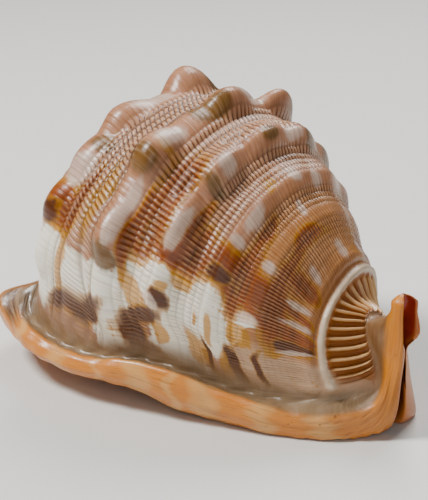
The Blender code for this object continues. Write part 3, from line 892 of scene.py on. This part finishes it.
# %% Ground colours of the skin
tan = blend(blotch, colour(164, 110, 80), colour(216, 166, 138))
warm = blend(streak, colour(166, 106, 66), colour(208, 152, 108))
warm = blend(ramp(a, 0.4, 1.6), blend(streak, colour(196, 150, 112), colour(244, 214, 184)), warm)
tan = blend(times(ramp(b, 8.0, 9.3), 0.9), tan, warm)
cream_colour = blend(blotch, colour(226, 216, 190), colour(255, 252, 244))
gold_colour = blend(streak, colour(176, 116, 34), colour(214, 158, 74))
rust_colour = blend(streak, colour(104, 38, 8), colour(184, 88, 34))
brown_colour = blend(streak, colour(40, 12, 0), colour(104, 42, 8))
olive_colour = blend(blotch, colour(84, 58, 28), colour(142, 106, 62))
knob_highlight_colour = blend(blotch, colour(224, 194, 176), colour(244, 226, 212))
print("with the pigments there are", len(tree.nodes), "nodes")

# %% [markdown]
# ## Patches over the ground
#
# Thin colours come first and dark ones last, as on the shell, where rust and brown lie over the cream. A
# gold fringe shows round the rust and the brown, because both are laid over a wider, fainter gold. The
# pale spots, painted highlights on the knobs, come on top of all. Bare cream is kept, as the lightest part.

# %% Patches over the ground
cream_share = cut(cream_field, 0.22, 0.2, 0.45)
rust_share = cut(rust_field, 0.26, 0.45, 0.6)
brown_share = cut(brown_field, 0.16, 0.5, 0.7)
olive_share = cut(olive_field, 0.1, 0.45, 0.6, 0.5)
skin_colour = blend(cream_share, tan, cream_colour)
skin_colour = blend(times(cut(gold_field, 0.2, 0.4, 0.6), 0.8), skin_colour, gold_colour)
skin_colour = blend(times(cut(rust_field, 0.14, 0.16, 0.4), 0.8), skin_colour, gold_colour)
skin_colour = blend(times(rust_share, 0.95), skin_colour, rust_colour)
core_share = times(ramp(plus(rust_field, shake), 0.72, 1.15), 0.6)
skin_colour = blend(core_share, skin_colour, brown_colour)
skin_colour = blend(times(cut(brown_field, 0.12, 0.2, 0.4), 0.6), skin_colour, gold_colour)
skin_colour = blend(times(brown_share, 0.96), skin_colour, brown_colour)
skin_colour = blend(times(olive_share, 0.92), skin_colour, olive_colour)
# The painted highlights on the knobs go on top of all.
skin_colour = blend(times(cut(knob_highlight_field, 0.2, 0.5, 0.7), 0.72), skin_colour, knob_highlight_colour)
covered = maths("MAXIMUM", rust_share, maths("MAXIMUM", brown_share, olive_share))
bare_cream = times(times(cream_share, minus(1.0, covered)), skin_part)
print("with the patches there are", len(tree.nodes), "nodes")

# %% [markdown]
# ## Crests pale, grooves dark
#
# The grooves are darkened with painted shade and the crests lightened with a painted highlight. The relief
# alone doesn't show that light and shade on fine ribs, so the same phases that raised the ribs and cords
# draw their lines. The ridge is nearly white and the fan's ribs are pale on a brown bed.

# %% Crests pale, grooves dark
def groove_line(turns, shift, half_width):
    """1 in the middle of each groove and 0 beyond half_width, both as a share of one turn."""
    from_groove = maths("ABSOLUTE", minus(maths("FRACT", plus(turns, shift)), 0.5))
    return minus(1.0, ramp(from_groove, 0.02, half_width))


rib_line = times(groove_line(growth_turns, 0.0, 0.24), rib_depth)
cord_line = times(groove_line(cord_turns, 0.5, 0.22), groove_depth)
dark_line = maths("MAXIMUM", rib_line, times(cord_line, 0.5))
# Painted shade: the grooves are darkened, more so over the top.
painted_groove_shade = times(dark_line, plus(times(over_top, 0.32), 0.54))
# Painted highlight: the crests between the growth ribs are lightened.
painted_crest_highlight = times(groove_line(growth_turns, 0.5, 0.34), rib_depth)
skin_colour = blend(times(painted_crest_highlight, 0.34), skin_colour, colour(236, 204, 168))
skin_colour = blend(painted_groove_shade, skin_colour, colour(74, 44, 26))
hair = noise(stretched(b, 0.5, a, 16.0), 1.0, 3.0, 0.6)
pale_hair = noise(stretched(b, 0.35, a, 11.0), 1.0, 3.0, 0.6)
pale_share = times(ramp(pale_hair, 0.54, 0.74), minus(1.0, brown_share))
skin_colour = blend(times(pale_share, 0.3), skin_colour, colour(240, 208, 176))
skin_colour = blend(times(ramp(hair, 0.5, 0.7), 0.42), skin_colour, colour(122, 76, 44))
fan_bed = blend(streak, colour(140, 84, 48), colour(190, 124, 76))
fan_colour = blend(ramp(rib_part, 0.15, 0.7), fan_bed, colour(234, 192, 146))
skin_colour = blend(fan_part, skin_colour, fan_colour)
ridge_colour = blend(thread, colour(206, 168, 130), colour(246, 232, 210))
skin_colour = blend(ramp(ridge_part, 0.35, 0.8), skin_colour, ridge_colour)
print("with the lines there are", len(tree.nodes), "nodes")

# %% [markdown]
# ## Colours of the lip
#
# The lip is glazed orange in many layers, so its grain runs along the rim. Towards the canal it has small
# dark pits, left by worms. Here they are only colour. The trough behind the rim is dull grey brown.

# %% Colours of the lip
rim_grain = noise(stretched(across, 7.0, along_x, 0.7), 1.0, 5.0, 0.65)
rim_blotch = noise(where, 70.0, 3.0, 0.6)
rim_colour = blend(rim_grain, colour(212, 124, 72), colour(248, 186, 128))
bar_share = ramp(plus(bar_field, times(minus(rim_blotch, 0.5), 1.2)), 0.1, 1.2)
rim_colour = blend(times(bar_share, 0.42), rim_colour, colour(250, 214, 158))
worm = times(ramp(noise(where, 260.0, 2.0), 0.62, 0.68), ramp(along_x, 4.5, 5.6))
rim_colour = blend(times(worm, 0.75), rim_colour, colour(92, 48, 22))
rim_colour = blend(times(ramp(rim_grain, 0.54, 0.62), 0.4), rim_colour, colour(140, 74, 30))
trough_colour = blend(streak, colour(96, 66, 44), colour(206, 184, 150))
shelf_colour = blend(ramp(rim_grain, 0.4, 0.6), colour(58, 46, 38), colour(150, 130, 108))
print("with the lip there are", len(tree.nodes), "nodes")

# %% [markdown]
# ## Shield, hollow and canal, and all parts together
#
# The shield is salmon glaze with pale teeth, and the hollow is deeper in colour where less light gets in.
# The canal is grey brown at its root and orange at its end. Each part could have a material of its own, but
# then the parts would meet at hard seams. One material with soft masks lets them run into each other.

# %% Colours of the shield, the hollow and the canal
shield_colour = blend(noise(where, 40.0, 3.0), colour(208, 120, 76), colour(240, 174, 128))
shield_colour = blend(times(ramp(tooth_part, 0.3, 0.9), 0.8), shield_colour, colour(248, 222, 186))
hollow_colour = blend(noise(where, 60.0, 3.0), colour(126, 56, 28), colour(186, 104, 60))
hood_colour = blend(noise(where, 150.0, 3.0), colour(122, 26, 10), colour(196, 64, 32))
hollow_colour = blend(hood_part, hollow_colour, hood_colour)
wall_grain = noise(stretched(along_x, 9.0, across, 0.5), 1.0, 4.0, 0.6)
wall_grey = blend(wall_grain, colour(96, 66, 46), colour(160, 124, 92))
wall_orange = blend(wall_grain, colour(196, 112, 56), colour(234, 168, 104))
frayed_x = plus(along_x, times(minus(wall_grain, 0.5), 0.25))
canal_colour = blend(ramp(frayed_x, 6.85, 7.2), wall_grey, wall_orange)

full = blend(skin_part, canal_colour, skin_colour)
full = blend(times(trough_part, 0.55), full, trough_colour)
full = blend(rim_part, full, rim_colour)
full = blend(times(shelf_part, 0.9), full, shelf_colour)
full = blend(shield_part, full, shield_colour)
full = blend(hollow_part, full, hollow_colour)
deepened = put("ShaderNodeHueSaturation")
deepened.inputs["Saturation"].default_value = 1.15
feed(deepened.inputs["Value"], plus(times(bare_cream, 0.27), 0.73))
feed(deepened.inputs["Color"], full)
full = deepened.outputs[0]
print("with every part there are", len(tree.nodes), "nodes")

# %% [markdown]
# ## Gloss
#
# Hair-fine growth lines and pores break up the gloss. They are too fine for the mesh, so a bump carries
# them, 0.3 mm at most. The varnish is a thin coat over a shell that is itself only half polished.

# %% Growth lines, pores and gloss
growth_line = noise(stretched(b, 1.2, a, 22.0), 1.0, 3.0, 0.6)
pore = noise(where, 900.0, 2.0, 0.5)
rough_height = plus(times(growth_line, 0.5), times(pore, 0.2))
rough_height = minus(rough_height, times(dark_line, 0.9))
bump = put("ShaderNodeBump")
feed(bump.inputs["Height"], rough_height)
bump.inputs["Strength"].default_value = 0.6
bump.inputs["Distance"].default_value = 0.0003

finish = put("ShaderNodeBsdfPrincipled")
feed(finish.inputs["Base Color"], full)
feed(finish.inputs["Roughness"], plus(times(growth_line, 0.16), 0.24))
feed(finish.inputs["Normal"], bump.outputs[0])
finish.inputs["Coat Weight"].default_value = 0.12
finish.inputs["Coat Roughness"].default_value = 0.14
finish.inputs["Specular IOR Level"].default_value = 0.38
finish.inputs["IOR"].default_value = 1.5
feed(put("ShaderNodeOutputMaterial").inputs["Surface"], finish.outputs[0])
mesh.materials.append(material)
print("material of", len(tree.nodes), "nodes")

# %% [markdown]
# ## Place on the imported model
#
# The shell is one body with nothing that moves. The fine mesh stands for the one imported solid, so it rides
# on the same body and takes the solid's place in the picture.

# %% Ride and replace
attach(shell, "root")
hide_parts("helmet_shell")
print("one piece stands for one solid")

# %% [markdown]
# ## Table
#
# The shell lies on a pale table with a dull sheen. A plane is enough.

# %% Table
table = bmesh.new()
bmesh.ops.create_grid(table, x_segments=1, y_segments=1, size=3.0)
table_mesh = bpy.data.meshes.new("table_top")
table.to_mesh(table_mesh)
table.free()
floor = bpy.data.objects.new("table_top", table_mesh)
floor.location = (0, 0, -0.0001)
bpy.context.scene.collection.objects.link(floor)
pale = bpy.data.materials.new("pale_table")
pale.use_nodes = True
pale_surface = pale.node_tree.nodes["Principled BSDF"]
pale_surface.inputs["Base Color"].default_value = colour(222, 220, 214)
pale_surface.inputs["Roughness"].default_value = 0.45
table_mesh.materials.append(pale)
print("table at", round(1000 * floor.location.z, 1), "mm")

# %% [markdown]
# ## Light
#
# A small panel high at the camera's left makes the highlights and the shadow on the right. A larger one
# behind the shell lights its top. A weak one behind the camera softens the shadow under the lip, and a dim
# sky fills in the rest. A picture of a room for a sky would light it too, but no such file comes along.

# %% Light
world = bpy.data.worlds.new("studio")
bpy.context.scene.world = world
world.use_nodes = True
world.node_tree.nodes["Background"].inputs["Color"].default_value = (0.92, 0.95, 1.0, 1.0)
world.node_tree.nodes["Background"].inputs["Strength"].default_value = 0.17


def panel(name, place, size, power):
    """A square lamp that faces the middle of the shell."""
    lamp = bpy.data.lights.new(name, "AREA")
    lamp.shape = "SQUARE"
    lamp.size = size
    lamp.energy = power
    holder = bpy.data.objects.new(name, lamp)
    holder.location = place
    holder.rotation_euler = (Vector((0, 0, 0.04)) - Vector(place)).to_track_quat("-Z", "Y").to_euler()
    bpy.context.scene.collection.objects.link(holder)


panel("key_panel", place=(-0.35, -0.45, 0.85), size=0.26, power=15)
panel("back_panel", place=(-0.25, 0.55, 0.8), size=0.5, power=9)
panel("front_panel", place=(0.85, -0.7, 0.45), size=0.7, power=3)
print("lamps", [lamp.name for lamp in bpy.data.lights])

# %% [markdown]
# ## Camera
#
# The photograph looks at the lip side with the canal towards the right, from a little above the table. A
# long lens from half a metre keeps the shell's proportions, as the photograph's does.

# %% Camera
TURNED_ROUND, RAISED = math.radians(47.0), math.radians(19.0)
DISTANCE, TARGET_HEIGHT = 0.55, 0.040
level = math.cos(RAISED)
away = Vector((math.sin(TURNED_ROUND) * level, -math.cos(TURNED_ROUND) * level, math.sin(RAISED)))
target = Vector((-CENTRE[0] * MM, -CENTRE[1] * MM, TARGET_HEIGHT))
view = bpy.data.cameras.new("camera")
view.lens = 126.0
view.sensor_width = 36.0
view.shift_x = -0.004
view.shift_y = -0.004
view.clip_start = 0.01
camera = bpy.data.objects.new("camera", view)
camera.location = target + DISTANCE * away
camera.rotation_euler = (-away).to_track_quat("-Z", "Y").to_euler()
bpy.context.scene.collection.objects.link(camera)
bpy.context.scene.camera = camera
print("camera at", [round(v, 3) for v in camera.location], "m")

# %% [markdown]
# ## Last update
#
# The view layer is brought up to date.

# %% Update the view layer
bpy.context.view_layer.update()
